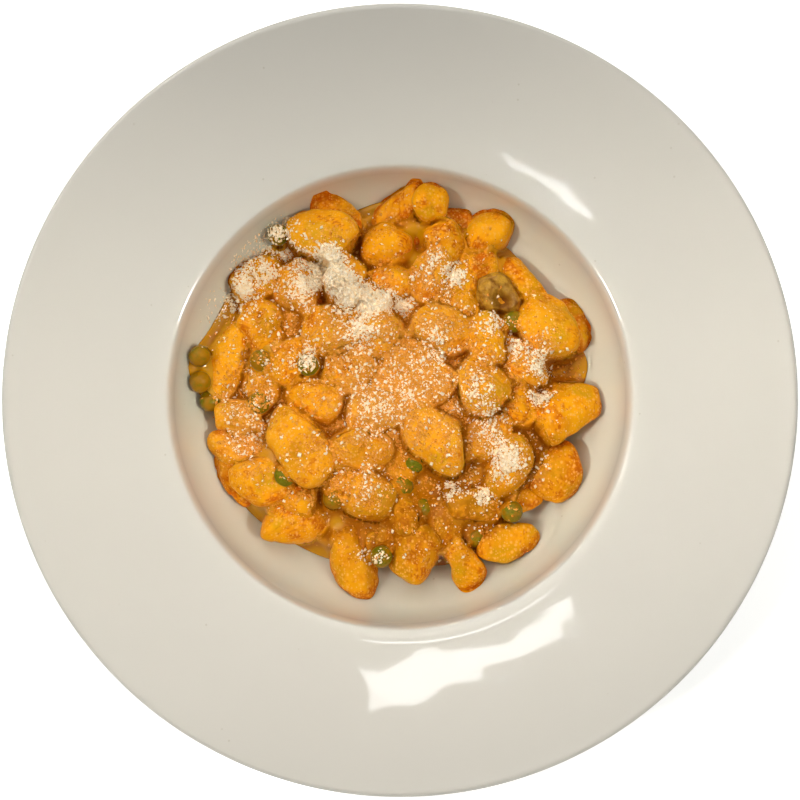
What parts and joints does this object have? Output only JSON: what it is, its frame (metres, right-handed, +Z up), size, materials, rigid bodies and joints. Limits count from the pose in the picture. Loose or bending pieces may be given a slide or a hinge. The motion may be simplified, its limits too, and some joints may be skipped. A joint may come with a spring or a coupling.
{
  "type": "bowl of potato gnocchi",
  "caption": "Wide-brimmed pasta bowl filled with potato gnocchi in tomato cream sauce, with peas, mushroom and grated cheese.",
  "frame": {"origin": "middle of the foot ring's underside, on the surface that the bowl stands on", "axes": "+Z up along the bowl's axis; the bowl is round, and X and Y are told apart by the food: the mushroom lies towards +X +Y and the row of peas at the pool's edge towards -X"},
  "size_m": [0.3, 0.3, 0.052],
  "materials": {
    "porcelain": "clear glossy glaze over cream white porcelain",
    "sauce": "wet orange tomato cream sauce with oil",
    "gnocchi": "boiled potato dough coated in orange sauce, moist and slightly lumpy",
    "cheese": "dry grated hard cheese, cream coloured, matt",
    "mushroom": "cooked mushroom, olive brown, wet with sauce",
    "pea": "cooked pea, wrinkled olive green skin, wet with sauce"
  },
  "bodies": {
    "root": {"bowl": "porcelain", "sauce": "sauce", "gnocchi_heap": "gnocchi", "mushroom": "mushroom", "pea_01": "pea", "pea_02": "pea", "pea_03": "pea", "pea_04": "pea", "pea_05": "pea", "pea_06": "pea", "pea_07": "pea", "pea_08": "pea", "pea_09": "pea", "pea_10": "pea", "pea_11": "pea", "pea_12": "pea", "pea_13": "pea", "pea_14": "pea", "pea_15": "pea", "pea_16": "pea", "pea_17": "pea"}
  },
  "joints": []
}
